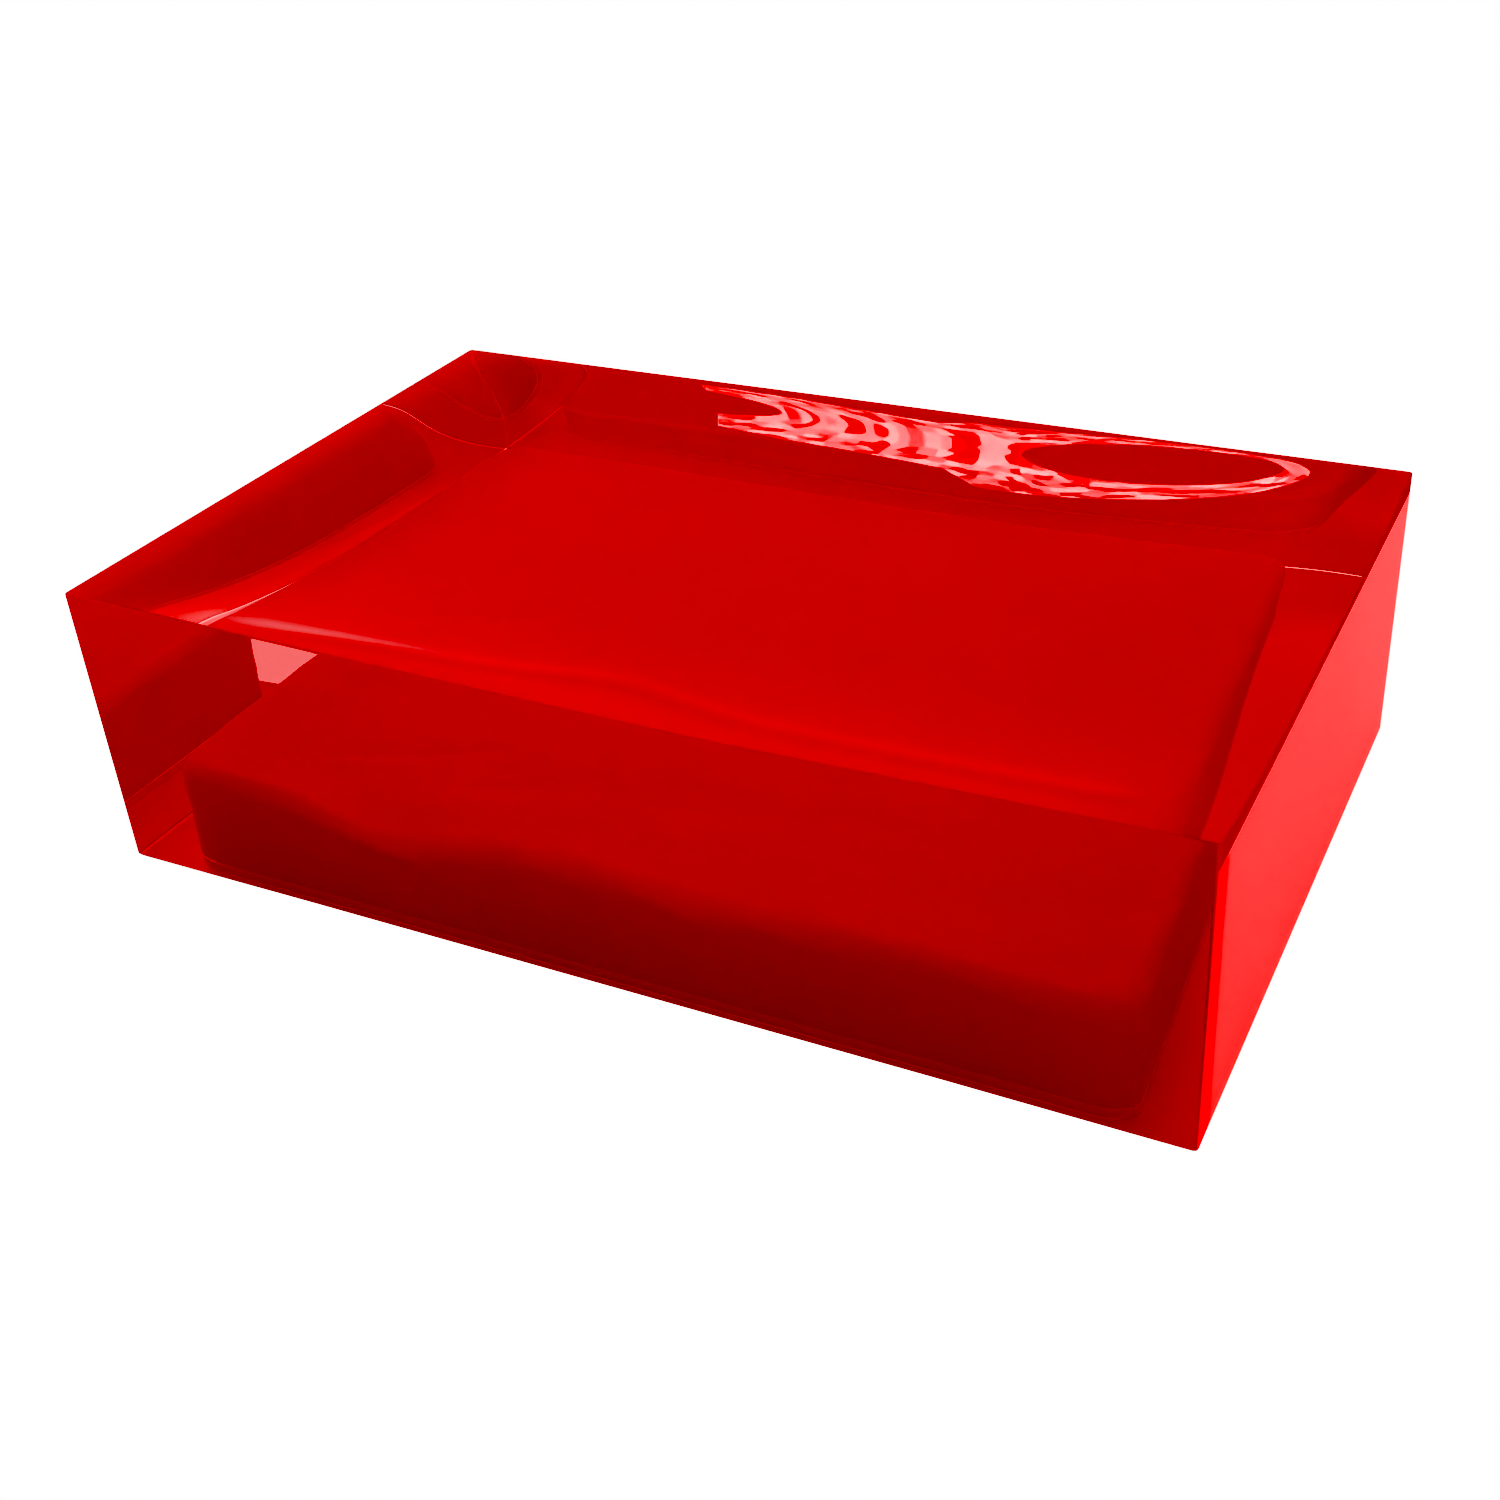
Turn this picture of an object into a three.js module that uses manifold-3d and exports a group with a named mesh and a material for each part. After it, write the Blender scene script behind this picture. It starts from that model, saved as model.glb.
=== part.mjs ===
// A detailing clay bar kept in a thick, clear red block of a case.
//
// Three pieces, from the bottom up: a thin base plate that closes the underside, the soft clay bar
// that lies on it, and the solid clear case that drops over both. The case lifts off the bar, and
// the bar lifts off the plate. Millimetres, +X along the length, +Z up, origin at the middle of the
// underside.

import * as THREE from "three";
import { mergeVertices } from "three/addons/utils/BufferGeometryUtils.js";
import Module from "manifold-3d";

// Driving dimensions
const CASE_LENGTH = 100;
const CASE_WIDTH = 62;
const CASE_HEIGHT = 27.5; // headroom for the case's tallest corner
const CASE_CORNER = 0.4; // radius of the case's upright edges
const CASE_BEVEL = 0.2; // rounding of its bottom edges

// The case's top is a shallow tray. Its rim stands at this height in the middle of the top, and tilts
const RIM_HEIGHT = 26.95;
const RIM_TILT_X = -0.004; // so much per millimetre towards +X
const RIM_TILT_Y = -0.0055; // and so much towards +Y
const FRONT_BOW = 0.22; // share of the rise that the front rim lacks at its lowest point,
const FRONT_BOW_X = 11; // which is here
const FLOOR_HEIGHT = 23.5; // height of the tray's floor in its middle
const FLOOR_TILT_X = 0.007;

// Width of the bank between the floor and the rim, on each side
const BANK_LEFT = 11;
const BANK_RIGHT = 8;
const BANK_FRONT = 12;
const BANK_BACK = 4.5;
const BANK_BACK_BULGE = 3; // the back bank is this much wider round the place below
const BULGE_X = 12.2;
const BULGE_SPAN = 20;
const CUT_END_RISE = 0.42; // the bank at the right end stops at this share of the rise, where it is cut off
const CORNER_FILL = 0.7; // share by which the tray is shallower in its back right corner,
const CORNER_FILL_X = 14.3; // fading over this length along the back
const CORNER_FILL_Y = 27.7; // and over this one along the right end

// Clear material left between the clay and each side of the case
const WALL_LEFT = 6.3;
const WALL_RIGHT = 4.6;
const WALL_FRONT = 1.5;
const WALL_BACK = 6;

const PLATE_THICKNESS = 1;
const BAR_TOP = 11.6; // height of the bar's top face above the underside of the case
const BAR_TAPER = 2.2; // the bar is this much shorter along its back than along its front
const BAR_CORNER = 4; // rounding of its upright corners
const BAR_ROUNDOVER = 2.6; // rounding of its top edges, which the pocket follows

const GAP = 0.3; // clearance between pieces that touch

const wasm = await Module();
wasm.setup();

// A closed three.js geometry as a solid that can be joined and cut.
function solid(geometry) {
  const bare = geometry.clone();
  bare.deleteAttribute("normal");
  bare.deleteAttribute("uv");
  const merged = mergeVertices(bare, 1e-4);
  return new wasm.Manifold(
    new wasm.Mesh({
      numProp: 3,
      vertProperties: new Float32Array(merged.attributes.position.array),
      triVerts: new Uint32Array(merged.index.array),
    }),
  );
}

// A solid back as a geometry with flat-shaded normals.
function geometryOf(body) {
  const mesh = body.getMesh();
  const shared = new THREE.BufferGeometry();
  shared.setAttribute("position", new THREE.BufferAttribute(mesh.vertProperties, 3));
  shared.setIndex(new THREE.BufferAttribute(mesh.triVerts, 1));
  const flat = shared.toNonIndexed();
  flat.computeVertexNormals();
  return flat;
}

// A four-sided outline through the given corners, each corner rounded off.
function roundedOutline(corners, radius) {
  const shape = new THREE.Shape();
  corners.forEach((corner, i) => {
    const before = corners[(i + 3) % 4].clone().sub(corner).setLength(radius).add(corner);
    const after = corners[(i + 1) % 4].clone().sub(corner).setLength(radius).add(corner);
    if (i === 0) shape.moveTo(before.x, before.y);
    else shape.lineTo(before.x, before.y);
    shape.quadraticCurveTo(corner.x, corner.y, after.x, after.y);
  });
  shape.closePath();
  return shape;
}

// An outline raised from one height to another, grown sideways, with both ends' edges rounded over.
function slab(outline, low, high, { grow = 0, roundover = 0, steps = 4 } = {}) {
  const geometry = new THREE.ExtrudeGeometry(outline, {
    depth: high - low - 2 * roundover,
    bevelEnabled: roundover > 0 || grow > 0,
    bevelThickness: roundover,
    bevelSize: roundover,
    bevelOffset: grow - roundover,
    bevelSegments: steps,
    curveSegments: 6,
  });
  geometry.translate(0, 0, low + roundover);
  return geometry;
}

// The same, with only the top edges rounded: the rounded bottom is cut off below the low height.
function domedSlab(outline, low, high, roundover, grow = 0) {
  const below = low - 2 * roundover;
  const whole = solid(slab(outline, below, high, { grow, roundover }));
  const trim = new THREE.BoxGeometry(2 * CASE_LENGTH, 2 * CASE_WIDTH, CASE_HEIGHT);
  trim.translate(0, 0, low - CASE_HEIGHT / 2);
  return whole.subtract(solid(trim));
}

// Share of the rise from floor to rim at a distance from a wall: 1 at the wall, 0 on the floor.
function bank(distance, width, power) {
  return Math.exp(-((distance / width) ** power));
}

// Height of the case's top at a place.
function topHeight(x, y) {
  const bulge = Math.exp(-(((x - BULGE_X) / BULGE_SPAN) ** 2));
  const reach = CASE_LENGTH / 2 + (x < FRONT_BOW_X ? FRONT_BOW_X : -FRONT_BOW_X);
  const bow = FRONT_BOW * (1 - Math.hypot((x - FRONT_BOW_X) / reach, 0.1));
  const banks = [
    bank(CASE_LENGTH / 2 + x, BANK_LEFT, 3),
    bank(CASE_WIDTH / 2 + y, BANK_FRONT, 1.1) * (1 - bow),
    bank(CASE_WIDTH / 2 - y, BANK_BACK + BANK_BACK_BULGE * bulge, 1.5 + 0.15 * bulge),
    CUT_END_RISE * bank(CASE_LENGTH / 2 - x, BANK_RIGHT, 2.5),
    CORNER_FILL * bank(CASE_LENGTH / 2 - x, CORNER_FILL_X, 2) * bank(CASE_WIDTH / 2 - y, CORNER_FILL_Y, 2),
  ];
  const openShare = banks.reduce((share, rise) => share * (1 - rise), 1);
  const floor = FLOOR_HEIGHT + FLOOR_TILT_X * x;
  const rim = RIM_HEIGHT + RIM_TILT_X * x + RIM_TILT_Y * y;
  return rim - (rim - floor) * openShare;
}

// A share from -1 to 1, moved outwards, so that a grid is finer along the walls than in the middle.
function crowdOutwards(share) {
  return Math.sign(share) * (1 - (1 - Math.abs(share)) ** 1.6);
}

// A block whose underside is the case's tray-shaped top: what is cut away above it.
function trayCutter() {
  const length = CASE_LENGTH + 4;
  const width = CASE_WIDTH + 4;
  const depth = 8;
  const cutter = new THREE.BoxGeometry(length, width, depth, 44, 32, 1);
  const place = cutter.attributes.position;
  for (let i = 0; i < place.count; i += 1) {
    const x = (length / 2) * crowdOutwards(place.getX(i) / (length / 2));
    const y = (width / 2) * crowdOutwards(place.getY(i) / (width / 2));
    const nearX = THREE.MathUtils.clamp(x, -CASE_LENGTH / 2, CASE_LENGTH / 2);
    const nearY = THREE.MathUtils.clamp(y, -CASE_WIDTH / 2, CASE_WIDTH / 2);
    const z = place.getZ(i) > 0 ? CASE_HEIGHT + depth / 2 : topHeight(nearX, nearY);
    place.setXYZ(i, x, y, z);
  }
  return cutter;
}

const caseCorners = [
  new THREE.Vector2(-CASE_LENGTH / 2, -CASE_WIDTH / 2),
  new THREE.Vector2(CASE_LENGTH / 2, -CASE_WIDTH / 2),
  new THREE.Vector2(CASE_LENGTH / 2, CASE_WIDTH / 2),
  new THREE.Vector2(-CASE_LENGTH / 2, CASE_WIDTH / 2),
];
const caseOutline = roundedOutline(caseCorners, CASE_CORNER);

const barLeft = -CASE_LENGTH / 2 + WALL_LEFT;
const barRight = CASE_LENGTH / 2 - WALL_RIGHT;
const barFront = -CASE_WIDTH / 2 + WALL_FRONT;
const barBack = CASE_WIDTH / 2 - WALL_BACK;
const barCorners = [
  new THREE.Vector2(barLeft, barFront),
  new THREE.Vector2(barRight, barFront),
  new THREE.Vector2(barRight - BAR_TAPER, barBack),
  new THREE.Vector2(barLeft, barBack),
];
const barOutline = roundedOutline(barCorners, BAR_CORNER);

const part = new THREE.Group();

function addPiece(name, geometry, material) {
  const mesh = new THREE.Mesh(geometry, material);
  mesh.name = name;
  part.add(mesh);
}

// Base plate: a thin frosted plate that fills the mouth of the pocket, flush with the underside.
function makeBasePlate() {
  const material = new THREE.MeshStandardMaterial({
    color: 0xb80008,
    roughness: 0.45,
    metalness: 0,
    transparent: true,
    opacity: 0.8,
  });
  addPiece("base_plate", slab(barOutline, 0, PLATE_THICKNESS), material);
}

// Clay bar: a soft slab with a flat bottom and rounded top edges.
function makeClayBar() {
  const body = domedSlab(barOutline, PLATE_THICKNESS + GAP, BAR_TOP, BAR_ROUNDOVER);
  const material = new THREE.MeshStandardMaterial({ color: 0x780004, roughness: 0.75, metalness: 0 });
  addPiece("clay_bar", geometryOf(body), material);
}

// Case cover: a thick clear block with a tray-shaped top and a pocket that opens downwards.
function makeCaseCover() {
  const block = solid(slab(caseOutline, 0, CASE_HEIGHT + CASE_BEVEL, { roundover: CASE_BEVEL, steps: 2 }));
  const pocket = domedSlab(barOutline, -GAP, BAR_TOP + GAP, BAR_ROUNDOVER, GAP);
  const body = block.subtract(solid(trayCutter())).subtract(pocket);
  const material = new THREE.MeshStandardMaterial({
    color: 0xd4000a,
    roughness: 0.05,
    metalness: 0,
    transparent: true,
    opacity: 0.45,
  });
  addPiece("case_cover", geometryOf(body), material);
}

makeBasePlate();
makeClayBar();
makeCaseCover();

export default part;
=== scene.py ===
"""A detailing clay bar in a thick, clear red case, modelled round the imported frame."""

import math

import bmesh
import bpy
import numpy as np
from mathutils import Matrix, Vector, noise


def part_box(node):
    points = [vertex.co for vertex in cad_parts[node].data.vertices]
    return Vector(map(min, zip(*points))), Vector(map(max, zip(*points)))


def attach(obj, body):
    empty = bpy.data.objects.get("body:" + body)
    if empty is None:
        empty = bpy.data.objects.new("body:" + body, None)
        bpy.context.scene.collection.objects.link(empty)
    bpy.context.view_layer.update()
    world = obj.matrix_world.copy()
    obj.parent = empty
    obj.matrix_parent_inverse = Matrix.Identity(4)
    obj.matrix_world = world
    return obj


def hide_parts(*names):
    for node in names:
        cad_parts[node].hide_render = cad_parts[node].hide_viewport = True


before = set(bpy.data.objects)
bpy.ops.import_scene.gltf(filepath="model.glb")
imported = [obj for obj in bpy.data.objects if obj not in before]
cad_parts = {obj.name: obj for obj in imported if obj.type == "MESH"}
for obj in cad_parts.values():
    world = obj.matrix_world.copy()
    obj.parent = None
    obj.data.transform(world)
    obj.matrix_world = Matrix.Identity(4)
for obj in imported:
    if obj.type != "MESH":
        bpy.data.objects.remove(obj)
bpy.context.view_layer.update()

MM = 0.001

# ---------------------------------------------------------------- sizes, in metres

CASE_LOW, CASE_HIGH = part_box("case_cover")
BAR_LOW, BAR_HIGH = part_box("clay_bar")
PLATE_LOW, PLATE_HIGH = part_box("base_plate")

CASE_CORNER = 0.3 * MM  # rounding of the case's upright edges
RIM_EDGE = 0.1 * MM  # rounding where the top meets the sides
FOOT_EDGE = 0.35 * MM  # rounding where the sides meet the underside
EDGE_HOLD = 0.05 * MM  # a ring this close to a rounding keeps the flat beside it flat

BAR_CORNER = 4 * MM
BAR_TAPER = 2.2 * MM  # the bar is this much shorter along its back than along its front
BAR_FOOT = 0.15 * MM  # rounding of the bar's bottom edge
BAR_SHOULDER = 2.7 * MM  # rounding of its top edge along the front,
BAR_EDGE = 1.2 * MM  # and along the other three sides
PLATE_EDGE = 0.12 * MM  # rounding of the plate's edges

# The clay is tacky and wets the walls of its pocket. It is made this much fatter than the pocket,
# so that a ray inside the clear material meets clay, with no film of air in between.
WETTING = 0.03 * MM


# ---------------------------------------------------------------- outlines and skins


def rounded_outline(corners, radius, arc_steps=6, side_step=0.9 * MM):
    """Points round a four-sided outline, anticlockwise, with its corners rounded off."""
    corners = [np.array(c, float) for c in corners]
    points = []
    for i, corner in enumerate(corners):
        before = corner + radius * unit(corners[i - 1] - corner)
        after = corner + radius * unit(corners[(i + 1) % 4] - corner)
        for t in np.linspace(0, 1, arc_steps + 1):
            points.append((1 - t) ** 2 * before + 2 * t * (1 - t) * corner + t**2 * after)
        next_corner = corners[(i + 1) % 4]
        end = next_corner + radius * unit(corner - next_corner)
        run = end - after
        hold = EDGE_HOLD / np.linalg.norm(run)
        steps = round(np.linalg.norm(run) / side_step)
        for t in [hold, *np.linspace(0, 1, steps + 1)[1:-1], 1 - hold]:
            points.append(after + t * run)
    return np.array(points)


def unit(v):
    """The same direction with a length of 1."""
    return v / np.linalg.norm(v)


def reach(outline, centre, angles):
    """How far the outline lies from the centre along each angle."""
    away = outline - centre
    around = np.arctan2(away[:, 1], away[:, 0])
    order = np.argsort(around)
    return np.interp(angles, around[order], np.linalg.norm(away, axis=1)[order], period=2 * math.pi)


def ring(xy, z):
    """A ring of points at one height, or at a height for each point."""
    return np.column_stack([xy, np.broadcast_to(z, len(xy))])


def skin(name, first_pole, rings, last_pole, sharp_angle=None):
    """A closed mesh through rings of equal count, shut at both ends by a pole."""
    bm = bmesh.new()
    rows = [[bm.verts.new(p) for p in r] for r in rings]
    for pole, row in ((first_pole, rows[0]), (last_pole, rows[-1])):
        tip = bm.verts.new(pole)
        for i in range(len(row)):
            bm.faces.new((tip, row[i - 1], row[i]))
    for low, high in zip(rows, rows[1:]):
        for i in range(len(low)):
            bm.faces.new((low[i - 1], low[i], high[i], high[i - 1]))
    bmesh.ops.recalc_face_normals(bm, faces=bm.faces)
    mesh = bpy.data.meshes.new(name)
    bm.to_mesh(mesh)
    bm.free()
    mesh.shade_smooth()
    if sharp_angle:
        mesh.set_sharp_from_angle(angle=sharp_angle)
    made = bpy.data.objects.new(name, mesh)
    bpy.context.scene.collection.objects.link(made)
    return made


def bell(distance, width):
    """1 at no distance, and less the further away, on both sides."""
    return np.exp(-((distance / width) ** 2))


def ease(value, start, end):
    """0 before start, 1 after end, smooth in between."""
    t = np.clip((value - start) / (end - start), 0, 1)
    return t * t * (3 - 2 * t)


# ---------------------------------------------------------------- outlines of the case and the bar

CASE_MIDDLE = np.array([(CASE_LOW.x + CASE_HIGH.x) / 2, (CASE_LOW.y + CASE_HIGH.y) / 2])
CASE_HALF = np.array([(CASE_HIGH.x - CASE_LOW.x) / 2, (CASE_HIGH.y - CASE_LOW.y) / 2])
CASE_OUTLINE = rounded_outline(
    [
        (CASE_LOW.x, CASE_LOW.y),
        (CASE_HIGH.x, CASE_LOW.y),
        (CASE_HIGH.x, CASE_HIGH.y),
        (CASE_LOW.x, CASE_HIGH.y),
    ],
    CASE_CORNER,
)

BAR_MIDDLE = np.array([(BAR_LOW.x + BAR_HIGH.x) / 2, (BAR_LOW.y + BAR_HIGH.y) / 2])
BAR_OUTLINE = rounded_outline(
    [
        (BAR_LOW.x, BAR_LOW.y),
        (BAR_HIGH.x, BAR_LOW.y),
        (BAR_HIGH.x - BAR_TAPER, BAR_HIGH.y),
        (BAR_LOW.x, BAR_HIGH.y),
    ],
    BAR_CORNER,
    arc_steps=12,
)

# Every ring of every piece has as many points as the case's outline. These are the directions of
# that outline's points from the bar's middle, which the bar, its plate and its pocket follow.
SPOKES = np.arctan2(*(CASE_OUTLINE - BAR_MIDDLE).T[::-1])
SPOKE_WAYS = np.column_stack([np.cos(SPOKES), np.sin(SPOKES)])
BAR_REACH = reach(BAR_OUTLINE, BAR_MIDDLE, SPOKES)


def bar_ring(inset, z, share=1.0):
    """A ring inset from the bar's outline, or at a share of the way out to it."""
    return ring(BAR_MIDDLE + SPOKE_WAYS * ((BAR_REACH - inset) * share)[:, None], z)


# ---------------------------------------------------------------- clay bar

# Places where the soft clay was pressed: x, y, half length, half width, turn in degrees, depth.
# All are in millimetres but the turn. The deepest is in the front shoulder, left of the middle.
BAR_DENTS = [
    (-27, -14, 9, 1.6, 38, 0.35),
    (-21, -9, 10, 1.4, 40, 0.3),
    (-15, -17, 8, 1.5, 44, 0.3),
    (6, -8, 14, 5, 15, 0.35),
    (24, 6, 12, 7, -30, 0.4),
    (-12, 12, 13, 6, 25, 0.35),
    (36, -16, 8, 5, 60, 0.3),
    (-20, -29, 8, 4.5, 0, 2.6),
    (12, -29, 10, 3, 0, 0.8),
    (37, -29, 6, 3, 0, 0.7),
]
LUMP_HEIGHT = 0.08  # of the low swells all over the clay's top, in millimetres
LUMP_RATE = 0.13  # swells per millimetre
LUMP_SLICE = 2.0  # where the noise that makes them is cut
SIDE_WAVE = 0.12 * MM  # depth of the upright waves round the clay's sides
WAVE_COUNT = 9


def bar_sink(points):
    """How far the clay's surface has sunk under each point of its top."""
    x, y = points[:, 0] / MM, points[:, 1] / MM
    sunk = np.zeros(len(points))
    for at_x, at_y, length, width, turn, depth in BAR_DENTS:
        c, s = math.cos(math.radians(turn)), math.sin(math.radians(turn))
        along = (x - at_x) * c + (y - at_y) * s
        across = (y - at_y) * c - (x - at_x) * s
        sunk += depth * bell(along, length) * bell(across, width)
    places = [Vector((px * LUMP_RATE, py * LUMP_RATE, LUMP_SLICE)) for px, py in zip(x, y)]
    lumps = [noise.noise(place) for place in places]
    return (sunk + LUMP_HEIGHT + LUMP_HEIGHT * np.array(lumps)) * MM


def bar_rings():
    """Rings of the clay bar from the middle of its bottom to the middle of its top."""
    bottom = PLATE_HIGH.z + 0.01 * MM
    top = BAR_HIGH.z
    shoulder = BAR_EDGE + (BAR_SHOULDER - BAR_EDGE) * ease(-SPOKE_WAYS[:, 1], 0.2, 0.6)
    rings = [bar_ring(BAR_FOOT, bottom, share) for share in (0.2, 0.5, 0.8, 0.95, 1)]
    for turn in (30, 60, 90):
        lift = 1 - math.cos(math.radians(turn))
        inset = BAR_FOOT * (1 - math.sin(math.radians(turn)))
        rings.append(bar_ring(inset, bottom + BAR_FOOT * lift))
    for z in np.linspace(bottom + BAR_FOOT, top - shoulder, 9)[1:]:
        rings.append(bar_ring(0, z))
    for turn in np.linspace(0, 90, 13)[1:]:
        inset = shoulder * (1 - math.cos(math.radians(turn)))
        rings.append(bar_ring(inset, top - shoulder * (1 - math.sin(math.radians(turn)))))
    for share in np.linspace(1, 0, 56)[1:-1]:
        rings.append(bar_ring(shoulder, top, share))
    return [press(r, bottom, top) for r in rings]


def press(points, bottom, top):
    """Sinks a ring of the bar where the clay was pressed, the more the higher it lies, and waves it."""
    height = (points[:, 2] - bottom) / (top - bottom)
    points[:, 2] -= bar_sink(points) * ease(height, 0.25, 1)
    wave = SIDE_WAVE * np.sin(SPOKES * WAVE_COUNT + points[:, 2] / MM) * ease(height, 0.05, 0.4)
    points[:, :2] -= SPOKE_WAYS * np.abs(wave)[:, None]
    return points


def make_bar(rings):
    low = Vector((*BAR_MIDDLE, rings[0][0, 2]))
    high = Vector((*BAR_MIDDLE, rings[-1][:, 2].mean()))
    bar = skin("clay_bar_pressed", low, rings, high)
    bar.data.materials.append(clay_material())
    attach(bar, "bar")
    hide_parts("clay_bar")


# ---------------------------------------------------------------- base plate


def make_plate():
    edge = PLATE_EDGE
    low, high = PLATE_LOW.z, PLATE_HIGH.z
    rings = [bar_ring(edge, low, share) for share in (0.3, 0.7, 0.98, 1)]
    for turn in (30, 60, 90):
        inset = edge * (1 - math.sin(math.radians(turn)))
        rings.append(bar_ring(inset, low + edge * (1 - math.cos(math.radians(turn)))))
    for turn in (0, 30, 60, 90):
        inset = edge * (1 - math.cos(math.radians(turn)))
        rings.append(bar_ring(inset, high - edge * (1 - math.sin(math.radians(turn)))))
    rings += [bar_ring(edge, high, share) for share in (0.98, 0.7, 0.3)]
    plate = skin("base_plate_moulded", Vector((*BAR_MIDDLE, low)), rings, Vector((*BAR_MIDDLE, high)))
    plate.data.materials.append(plate_material())
    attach(plate, "base")
    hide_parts("base_plate")


# ---------------------------------------------------------------- case

# The top is a shallow tray: the plastic stood up against the walls of its mould as it set.
# Its sizes are in millimetres, from the middle of the case's underside.
TRAY_FLOOR = 23.5
TRAY_SLOPE = 0.007  # the floor rises this much per millimetre towards the cut end
RIM_HEIGHT = 26.95
RIM_SLOPE_X = -0.004
RIM_SLOPE_Y = -0.0055

# Widths of the banks between the floor and the rim. A higher power makes a bank steeper halfway up
# and flatter at its rim.
LEFT_BANK, LEFT_POWER = 11, 3
FRONT_BANK, FRONT_POWER = 12, 1.1
FRONT_EXTRA = 3  # the front bank is this much wider at its left end
BACK_BANK, BACK_POWER = 4.5, 1.49
BULGE, BULGE_POWER = 3.0, 0.16  # what the back bank gains at its widest place
BULGE_AT_X = 12.2  # which is here,
BULGE_SPANS = (24.8, 15.1)  # fading over these lengths to its left and right
CUT_BANK, CUT_POWER = 8, 2.5
CUT_END_RISE = 0.42  # how far up the bank goes at the cut end, as a share of the rise to the rim

CORNER_FILL = 0.7  # share by which the tray is shallower in its back right corner,
CORNER_SPANS = (14.3, 27.7)  # fading over these lengths along the back and along the cut end
FRONT_BOW = 0.22  # share of the rise that the front rim lacks at its lowest point,
BOW_AT_X = 11  # which is here
RIPPLE = 0.06  # height of the flow line, a faint ridge along the front bank
RIPPLE_WIDTH = 1.3

RIM_HOLD = 0.0002  # a ring this share inside the rim keeps the top's edge crisp
CROWDING = 1.35  # anything over 1 crowds the top's rings towards the rim, where the banks are


def bank(distance, width, power):
    """Share of the rim's rise at a distance from a wall: 1 at the wall, 0 on the tray's floor."""
    return np.exp(-((distance / width) ** power))


def top_height(points):
    """Height of the case's top surface at each point of its outline's plane."""
    x, y = (points - CASE_MIDDLE).T / MM
    half_x, half_y = CASE_HALF / MM
    sides = (half_x + x, half_x - x, half_y + y, half_y - y)
    from_left, from_right, from_front, from_back = (np.maximum(d, 0) for d in sides)
    bulge = bell(x - BULGE_AT_X, np.where(x < BULGE_AT_X, *BULGE_SPANS))
    bow_reach = np.where(x < BOW_AT_X, half_x + BOW_AT_X, half_x - BOW_AT_X)
    bow = FRONT_BOW * (1 - np.hypot((x - BOW_AT_X) / bow_reach, 0.1))
    banks = (
        bank(from_left, LEFT_BANK, LEFT_POWER),
        bank(from_back, BACK_BANK + BULGE * bulge, BACK_POWER + BULGE_POWER * bulge),
        bank(from_front, FRONT_BANK + FRONT_EXTRA * ease(-x, 0, 30), FRONT_POWER) * (1 - bow),
        CUT_END_RISE * bank(from_right, CUT_BANK, CUT_POWER),
        CORNER_FILL * bank(from_right, CORNER_SPANS[0], 2) * bank(from_back, CORNER_SPANS[1], 2),
    )
    level = np.prod([1 - share for share in banks], axis=0)
    floor = TRAY_FLOOR + TRAY_SLOPE * x
    rim = RIM_HEIGHT + RIM_SLOPE_X * x + RIM_SLOPE_Y * y
    # The flow line runs 4 mm from the front wall, bends towards it at the left and away from it in
    # the middle, and fades out at both ends.
    flow_line = -27 - 2 * ease(-x, 15, 35) + 2.7 * bell(x - 1, 9)
    ripple = RIPPLE * bell(y - flow_line, RIPPLE_WIDTH) * ease(x, -40, -25) * ease(from_right, 5, 9)
    return CASE_LOW.z + (rim + (floor - rim) * level + ripple) * MM


def case_rings(pocket):
    """Rings of the case from the middle of its top, down the sides and up into the pocket."""
    foot = CASE_LOW.z
    outline = CASE_OUTLINE - CASE_MIDDLE
    inner = CASE_MIDDLE + outline * (1 - RIM_EDGE / np.abs(outline).max(axis=1))[:, None]
    rings = []
    for share in 1 - np.linspace(1, 0, 90)[1:] ** CROWDING:
        xy = CASE_MIDDLE + (inner - CASE_MIDDLE) * share
        rings.append(ring(xy, top_height(xy)))
    inner_hold = inner + (CASE_MIDDLE - inner) * RIM_HOLD
    rings.insert(-1, ring(inner_hold, top_height(inner_hold)))
    rim = top_height(inner)
    for turn in (20, 40, 60, 80, 90):
        out = math.sin(math.radians(turn))
        down = 1 - math.cos(math.radians(turn))
        xy = inner + (CASE_OUTLINE - inner) * out
        rings.append(ring(xy, rim - RIM_EDGE * down))
    wall_top = rim - RIM_EDGE
    wall_foot = foot + FOOT_EDGE
    for share in (0, 0.5, 1):
        z = (wall_top - EDGE_HOLD) * (1 - share) + (wall_foot + EDGE_HOLD) * share
        rings.append(ring(CASE_OUTLINE, z))
    for turn in (0, 30, 60, 90):
        inset = FOOT_EDGE * (1 - math.cos(math.radians(turn)))
        z = foot + FOOT_EDGE * (1 - math.sin(math.radians(turn)))
        xy = CASE_MIDDLE + outline * (1 - inset / np.abs(outline).max(axis=1))[:, None]
        rings.append(ring(xy, z))
    mouth = bar_ring(WETTING, foot)
    near_edge = 0.1  # of the way from the foot's edge to the pocket's mouth
    rings.append(rings[-1] * (1 - near_edge) + mouth * near_edge)
    rings.append(mouth)
    return rings + pocket


def pocket_rings(rings):
    """The bar's side and top, moved inwards by the wetting, as the wall of the pocket."""
    wall_start = 8  # the first ring above the rounding of the bar's bottom edge
    pocket = [bar_ring(WETTING, rings[wall_start][:, 2].min())]
    for below, here, above in zip(rings[wall_start:], rings[wall_start + 1 :], rings[wall_start + 2 :]):
        upward = above - below
        sideways = np.roll(here, -1, axis=0) - np.roll(here, 1, axis=0)
        out = np.cross(sideways, upward)
        out /= np.linalg.norm(out, axis=1)[:, None]
        pocket.append(here - out * WETTING)
    return pocket


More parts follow.
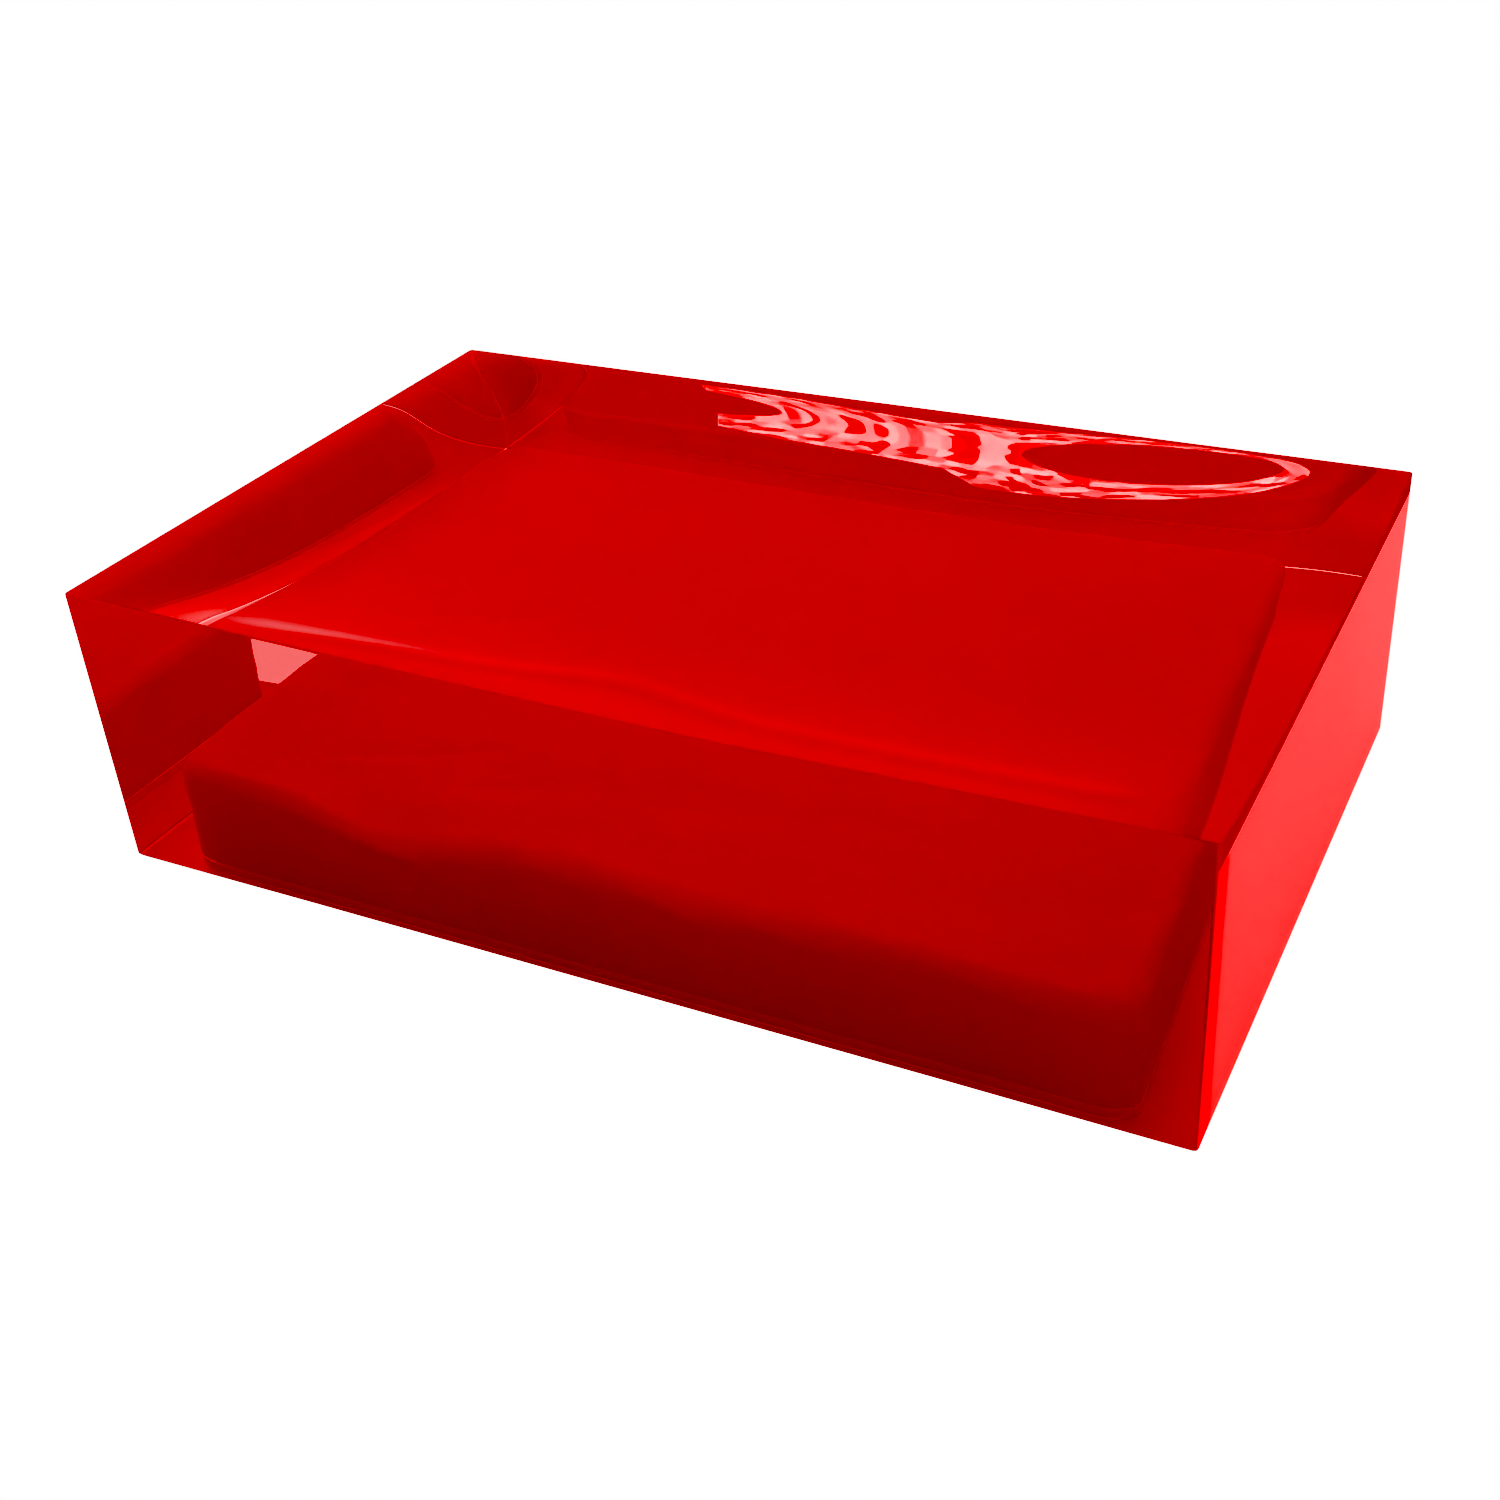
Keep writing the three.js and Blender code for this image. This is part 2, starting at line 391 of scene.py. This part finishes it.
def make_case(clay):
    """The case, with a pocket that follows the rings of the clay."""
    rings = case_rings(pocket_rings(clay))
    top = Vector((*CASE_MIDDLE, top_height(CASE_MIDDLE[None])[0]))
    ceiling = Vector((*BAR_MIDDLE, rings[-1][:, 2].mean()))
    case = skin("case_cover_clear", top, rings, ceiling, sharp_angle=math.radians(50))
    case.data.materials.append(case_material())
    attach(case, "case")
    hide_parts("case_cover")


# ---------------------------------------------------------------- materials


def add_node(tree, kind, settings=None, **inputs):
    """Adds a node, sets its properties, and sets or links its inputs, by name or as i0, i1 and so on."""
    made = tree.nodes.new(kind)
    for key, value in (settings or {}).items():
        setattr(made, key, value)
    for key, value in inputs.items():
        socket = made.inputs[int(key[1:]) if key[1:].isdigit() else key.replace("_", " ")]
        if isinstance(value, bpy.types.NodeSocket):
            tree.links.new(value, socket)
        else:
            socket.default_value = value
    return made


def new_material(name):
    """A material, its Principled shader, and a function that adds nodes to it."""
    material = bpy.data.materials.new(name)
    material.use_nodes = True
    tree = material.node_tree

    def add(kind, settings=None, **inputs):
        return add_node(tree, kind, settings, **inputs)

    return material, tree.nodes["Principled BSDF"], add


def link(socket, source):
    socket.id_data.links.new(source, socket)


def blend_colour(add, factor, *colours):
    """A mix of two colours, or of a colour and another mix, by a factor socket."""
    made = add("ShaderNodeMix", {"data_type": "RGBA"})
    link(made.inputs["Factor"], factor)
    sockets = {s.identifier: s for s in made.inputs}
    for name, colour in zip(("A_Color", "B_Color"), colours):
        if isinstance(colour, bpy.types.NodeSocket):
            link(sockets[name], colour)
        else:
            sockets[name].default_value = (*colour, 1)
    return next(s for s in made.outputs if s.identifier == "Result_Color")


SAWN_TOP = 24.6 * MM  # the cut end is frosted up to here, and clear above the next height
LIP_FOOT = 25.0 * MM


def case_material():
    """Clear red plastic: polished, but for the cut end and the underside, which are frosted."""
    material, shader, add = new_material("clear_red_case")
    place = add("ShaderNodeTexCoord").outputs["Object"]
    axes = add("ShaderNodeSeparateXYZ", i0=place)
    cut_end = add(
        "ShaderNodeMapRange",
        Value=axes.outputs["X"],
        From_Min=CASE_HIGH.x - 0.15 * MM,
        From_Max=CASE_HIGH.x - 0.03 * MM,
    )
    below_lip = add(
        "ShaderNodeMapRange",
        Value=axes.outputs["Z"],
        From_Min=CASE_LOW.z + LIP_FOOT,
        From_Max=CASE_LOW.z + SAWN_TOP,
    )
    times, larger = {"operation": "MULTIPLY"}, {"operation": "MAXIMUM"}
    sawn = add("ShaderNodeMath", times, i0=cut_end.outputs[0], i1=below_lip.outputs[0])
    underside = add(
        "ShaderNodeMapRange",
        Value=axes.outputs["Z"],
        From_Min=CASE_LOW.z + 0.1 * MM,
        From_Max=CASE_LOW.z + 0.02 * MM,
    )
    frosted = add("ShaderNodeMath", larger, i0=sawn.outputs[0], i1=underside.outputs[0])
    frost = frosted.outputs[0]
    roughness = add("ShaderNodeMapRange", Value=frost, To_Min=0.0, To_Max=0.45)
    # Painted shade: the underside is darker, and lets less light up, behind the bar and at its right
    # end, where the bar's shadow falls.
    behind = add("ShaderNodeMapRange", Value=axes.outputs["Y"], From_Min=14 * MM, From_Max=25 * MM)
    beside = add(
        "ShaderNodeMapRange",
        Value=axes.outputs["X"],
        From_Min=40 * MM,
        From_Max=45.5 * MM,
        To_Max=0.5,
    )
    painted_shade = add("ShaderNodeMath", larger, i0=behind.outputs[0], i1=beside.outputs[0])
    base_haze = add("ShaderNodeMapRange", Value=painted_shade.outputs[0], To_Min=0.6, To_Max=0.25)
    haze = add("ShaderNodeMapRange", Value=sawn.outputs[0], To_Min=base_haze.outputs[0], To_Max=0.08)
    clearness = add("ShaderNodeMapRange", Value=frost, To_Min=1.0, To_Max=haze.outputs[0])
    link(shader.inputs["Roughness"], roughness.outputs[0])
    link(shader.inputs["Transmission Weight"], clearness.outputs[0])
    inward = add(
        "ShaderNodeMapRange",
        Value=axes.outputs["Y"],
        From_Min=CASE_LOW.y + 0.3 * MM,
        From_Max=CASE_LOW.y + 3.0 * MM,
    )
    # The cut end is redder beside the front edge. Its pale pink is partly the frosting and partly
    # painted sheen, which stands in for the right softbox's reflection. That softbox is hidden from
    # reflections.
    frost_and_sheen = blend_colour(add, inward.outputs[0], (1.0, 0.1, 0.1), (1.0, 0.2, 0.2))
    # The painted shade turns the underside's red darker behind the bar and at its right end.
    shaded_underside = blend_colour(add, painted_shade.outputs[0], (1.0, 0.15, 0.15), (0.6, 0.08, 0.08))
    ground = blend_colour(add, sawn.outputs[0], shaded_underside, frost_and_sheen)
    link(shader.inputs["Base Color"], blend_colour(add, frost, (1.0, 0.55, 0.55), ground))
    shader.inputs["IOR"].default_value = 1.49
    shader.inputs["Specular Tint"].default_value = (1.0, 0.15, 0.15, 1)
    inside = add("ShaderNodeVolumeAbsorption", Color=(1.0, 0.0, 0.0, 1), Density=4.0)
    output = next(n for n in material.node_tree.nodes if n.type == "OUTPUT_MATERIAL")
    link(output.inputs["Volume"], inside.outputs[0])
    return material


def clay_material():
    """Kneaded clay: satin, with fine abrasive grain and slow changes of shade."""
    material, shader, add = new_material("red_clay")
    place = add("ShaderNodeTexCoord").outputs["Object"]
    drift = add("ShaderNodeTexNoise", Vector=place, Scale=90.0, Detail=4.0)
    shade = blend_colour(add, drift.outputs[0], (0.62, 0.006, 0.008), (0.74, 0.01, 0.012))
    link(shader.inputs["Base Color"], shade)
    shine = add("ShaderNodeMapRange", Value=drift.outputs[0], To_Min=0.5, To_Max=0.7)
    link(shader.inputs["Roughness"], shine.outputs[0])
    grain = add("ShaderNodeTexNoise", Vector=place, Scale=2600.0, Detail=3.0)
    bump = add("ShaderNodeBump", Strength=0.25, Distance=0.00008, Height=grain.outputs[0])
    link(shader.inputs["Normal"], bump.outputs[0])
    return material


def plate_material():
    """Frosted red plastic."""
    material, shader, add = new_material("frosted_red_plate")
    place = add("ShaderNodeTexCoord").outputs["Object"]
    grain = add("ShaderNodeTexNoise", Vector=place, Scale=1800.0, Detail=4.0)
    shade = blend_colour(add, grain.outputs[0], (0.8, 0.008, 0.01), (0.9, 0.012, 0.014))
    link(shader.inputs["Base Color"], shade)
    shine = add("ShaderNodeMapRange", Value=grain.outputs[0], To_Min=0.35, To_Max=0.5)
    link(shader.inputs["Roughness"], shine.outputs[0])
    bump = add("ShaderNodeBump", Strength=0.3, Distance=0.00004, Height=grain.outputs[0])
    link(shader.inputs["Normal"], bump.outputs[0])
    return material


# ---------------------------------------------------------------- stage, lights and camera

# How bright the floor and the room look, where the eye sees 1
ROOM_LIT = 0.25  # to the light that falls on the clay
FLOOR_MIRRORED = 0.3  # and in reflections: the floor,
ROOM_MIRRORED = 0.9  # the room,
CEILING_MIRRORED = 0.3  # the ceiling,
HORIZON_GLOW = 1.35  # and what the room gains level with the object,
HORIZON_TOP = 0.56  # which has gone at the height with this sine


def cut_out(tree, add, shown, lit, mirrored, output):
    """Shows one surface to the eye, straight or through clear plastic, a second one to the light that
    falls on the clay, and a third to reflections."""
    ray = add("ShaderNodeLightPath")
    bounced = add("ShaderNodeMath", {"operation": "MINIMUM"}, i0=ray.outputs["Diffuse Depth"], i1=1.0)
    direct = add("ShaderNodeMath", {"operation": "SUBTRACT"}, i0=1.0, i1=bounced.outputs[0])
    through = add(
        "ShaderNodeMath",
        {"operation": "MAXIMUM"},
        i0=ray.outputs["Is Camera Ray"],
        i1=ray.outputs["Is Transmission Ray"],
    )
    seen = add("ShaderNodeMath", {"operation": "MULTIPLY"}, i0=through.outputs[0], i1=direct.outputs[0])
    unlit = add("ShaderNodeMixShader", i0=seen.outputs[0], i1=mirrored, i2=shown)
    mix = add("ShaderNodeMixShader", i0=bounced.outputs[0], i1=unlit.outputs[0], i2=lit)
    tree.links.new(mix.outputs[0], output)


def make_floor():
    bpy.ops.mesh.primitive_plane_add(size=4, location=(0, 0, -0.2 * MM))
    floor = bpy.context.object
    floor.name = "floor"
    material, shader, add = new_material("pale_floor")
    shader.inputs["Base Color"].default_value = (0.8, 0.8, 0.8, 1)
    shader.inputs["Roughness"].default_value = 0.9
    white = add("ShaderNodeEmission", Color=(1, 1, 1, 1), Strength=1.0)
    dark = add("ShaderNodeEmission", Color=(1, 1, 1, 1), Strength=FLOOR_MIRRORED)
    output = next(n for n in material.node_tree.nodes if n.type == "OUTPUT_MATERIAL")
    surfaces = (white.outputs[0], shader.outputs[0], dark.outputs[0])
    cut_out(material.node_tree, add, *surfaces, output.inputs["Surface"])
    floor.data.materials.append(material)


def make_world():
    world = bpy.data.worlds.new("studio")
    bpy.context.scene.world = world
    world.use_nodes = True
    tree = world.node_tree
    tree.nodes.clear()

    def add(kind, settings=None, **inputs):
        return add_node(tree, kind, settings, **inputs)

    def plain(strength, tint=1.0):
        return add("ShaderNodeBackground", Color=(1, tint, tint, 1), Strength=strength).outputs[0]

    # A height here is the sine of the angle above the horizon.
    way = add("ShaderNodeTexCoord").outputs["Generated"]
    height = add("ShaderNodeSeparateXYZ", i0=way).outputs["Z"]
    glow = add(
        "ShaderNodeMapRange",
        {"interpolation_type": "SMOOTHSTEP"},
        Value=height,
        From_Min=HORIZON_TOP,
        From_Max=0.1,
        To_Min=0.0,
        To_Max=HORIZON_GLOW,
    )
    upper = add(
        "ShaderNodeMapRange",
        Value=height,
        From_Min=0.6,
        From_Max=0.95,
        To_Min=ROOM_MIRRORED,
        To_Max=CEILING_MIRRORED,
    )
    room = add("ShaderNodeMath", {"operation": "ADD"}, i0=glow.outputs[0], i1=upper.outputs[0])
    output = add("ShaderNodeOutputWorld")
    surfaces = (plain(1.0), plain(ROOM_LIT), plain(room.outputs[0], 0.85))
    cut_out(tree, add, *surfaces, output.inputs["Surface"])


def add_softbox(name, place, side, radiance):
    """A square lamp facing the middle of the case's top, set by how bright its face looks."""
    target = Vector((0, 0, CASE_HIGH.z))
    lamp = bpy.data.lights.new(name, "AREA")
    lamp.shape = "SQUARE"
    lamp.size = side
    lamp.energy = radiance * math.pi * side**2
    made = bpy.data.objects.new(name, lamp)
    bpy.context.scene.collection.objects.link(made)
    made.location = place
    made.rotation_mode = "QUATERNION"
    made.rotation_quaternion = (target - Vector(place)).to_track_quat("-Z", "Y")
    made.visible_camera = False
    made.visible_glossy = False


def on_the_sky(azimuth, elevation):
    """A direction by its bearing from +Y towards +X and its height, in degrees."""
    a, e = math.radians(azimuth), math.radians(elevation)
    return Vector((math.sin(a) * math.cos(e), math.cos(a) * math.cos(e), math.sin(e)))


# The studio's window, as a card that only reflections see. It faces a place on the tray's back bank,
# where its reflection lies, and its corners are in shares of its distance from there.
WINDOW_TARGET = Vector((5, 27, 25)) * MM
WINDOW_BEARING, WINDOW_HEIGHT = -13.3, 37.0  # its direction from that place, in degrees
WINDOW_DISTANCE = 65.1 * MM
PANE_RATE = 425.0  # panes per metre
WINDOW_CORNERS = [
    (-0.82, 0.47),
    (-0.75, 0.3),
    (-0.6, 0.25),
    (-0.2, 0.25),
    (-0.1, 0.15),
    (0.25, 0.15),
    (0.36, 0.19),
    (0.5, 0.22),
    (0.5, 0.27),
    (0.45, 0.33),
    (0.3, 0.36),
    (0.1, 0.4),
    (-0.05, 0.43),
    (-0.2, 0.4),
    (-0.4, 0.41),
    (-0.6, 0.47),
]


def window_material():
    """Panes of uneven brightness, brighter towards the window's top."""
    material = bpy.data.materials.new("window_light")
    material.use_nodes = True
    tree = material.node_tree
    tree.nodes.clear()

    def add(kind, settings=None, **inputs):
        return add_node(tree, kind, settings, **inputs)

    place = add("ShaderNodeTexCoord").outputs["Object"]
    cells = {"voronoi_dimensions": "2D", "distance": "CHEBYCHEV"}
    panes = add("ShaderNodeTexVoronoi", cells, Vector=place, Scale=PANE_RATE, Randomness=0.9)
    shade = add("ShaderNodeSeparateColor", i0=panes.outputs["Color"])
    bright = add("ShaderNodeMapRange", Value=shade.outputs[0], From_Min=0.15, To_Min=5.0, To_Max=17.0)
    upward = add("ShaderNodeSeparateXYZ", i0=place).outputs["Y"]
    lift = add(
        "ShaderNodeMapRange",
        Value=upward,
        From_Min=0.15 * WINDOW_DISTANCE,
        From_Max=0.4 * WINDOW_DISTANCE,
        To_Min=0.8,
        To_Max=1.5,
    )
    strength = add("ShaderNodeMath", {"operation": "MULTIPLY"}, i0=bright.outputs[0], i1=lift.outputs[0])
    glow = add("ShaderNodeEmission", Color=(1, 1, 1, 1), Strength=strength.outputs[0])
    add("ShaderNodeOutputMaterial", Surface=glow.outputs[0])
    return material


def make_window():
    toward = on_the_sky(WINDOW_BEARING, WINDOW_HEIGHT)
    right = toward.cross(Vector((0, 0, 1))).normalized()
    over = right.cross(toward)
    mesh = bpy.data.meshes.new("window")
    corners = [(x * WINDOW_DISTANCE, y * WINDOW_DISTANCE, 0) for x, y in WINDOW_CORNERS]
    mesh.from_pydata(corners, [], [range(len(corners))])
    mesh.materials.append(window_material())
    window = bpy.data.objects.new("window", mesh)
    bpy.context.scene.collection.objects.link(window)
    pose = Matrix((right, over, toward)).transposed().to_4x4()
    pose.translation = WINDOW_TARGET + toward * WINDOW_DISTANCE
    window.matrix_world = pose
    window.visible_camera = False
    window.visible_diffuse = False
    window.visible_transmission = False
    window.visible_shadow = False


def make_lights():
    """Three softboxes, placed in metres. Reflections show the room and the window instead of them."""
    add_softbox("overhead", (-0.02, 0.09, 0.4), 0.34, radiance=2.9)
    add_softbox("left_side", (-0.45, 0.2, 0.22), 0.3, radiance=2.0)
    add_softbox("right_side", (0.5, 0.15, 0.12), 0.3, radiance=14.0)


CAMERA_TURNS = (29.344, 31.852, -4.413)  # azimuth, elevation and roll, in degrees
CAMERA_OFFSET = (0.015657, -0.039023, -1.81023)  # of the part's origin from the camera, in case lengths
CAMERA_LENS = 46.13


def make_camera():
    """A camera to the right of the front and above, with a slight roll."""
    length = CASE_HIGH.x - CASE_LOW.x
    azimuth, elevation, roll = (math.radians(d) for d in CAMERA_TURNS)
    back = Vector(
        (
            math.sin(azimuth) * math.cos(elevation),
            -math.cos(azimuth) * math.cos(elevation),
            math.sin(elevation),
        )
    )
    right = Vector((0, 0, 1)).cross(back).normalized()
    up = back.cross(right)
    rows = Matrix(
        (
            math.cos(roll) * right + math.sin(roll) * up,
            math.cos(roll) * up - math.sin(roll) * right,
            back,
        )
    )
    offset = Vector(CAMERA_OFFSET) * length
    camera = bpy.data.cameras.new("camera")
    camera.sensor_width = 36
    camera.lens = CAMERA_LENS
    camera.clip_start = 0.001
    made = bpy.data.objects.new("camera", camera)
    bpy.context.scene.collection.objects.link(made)
    pose = rows.transposed().to_4x4()
    pose.translation = -(rows.transposed() @ offset)
    made.matrix_world = pose
    bpy.context.scene.camera = made


def set_light_paths():
    """Enough bounces for light that is caught inside the block."""
    scene = bpy.context.scene
    scene.cycles.max_bounces = 16
    scene.cycles.glossy_bounces = 12
    scene.cycles.transmission_bounces = 14


def set_grade():
    """Pure reds: the weaker greens and blues go to nothing, and white stays white."""
    view = bpy.context.scene.view_settings
    view.view_transform = "Standard"
    view.use_curve_mapping = True
    view.curve_mapping.black_level = (0.0, 0.3, 0.3)
    view.curve_mapping.update()


clay_rings = bar_rings()
make_bar(clay_rings)
make_plate()
make_case(clay_rings)
make_floor()
make_world()
make_lights()
make_window()
make_camera()
set_light_paths()
set_grade()
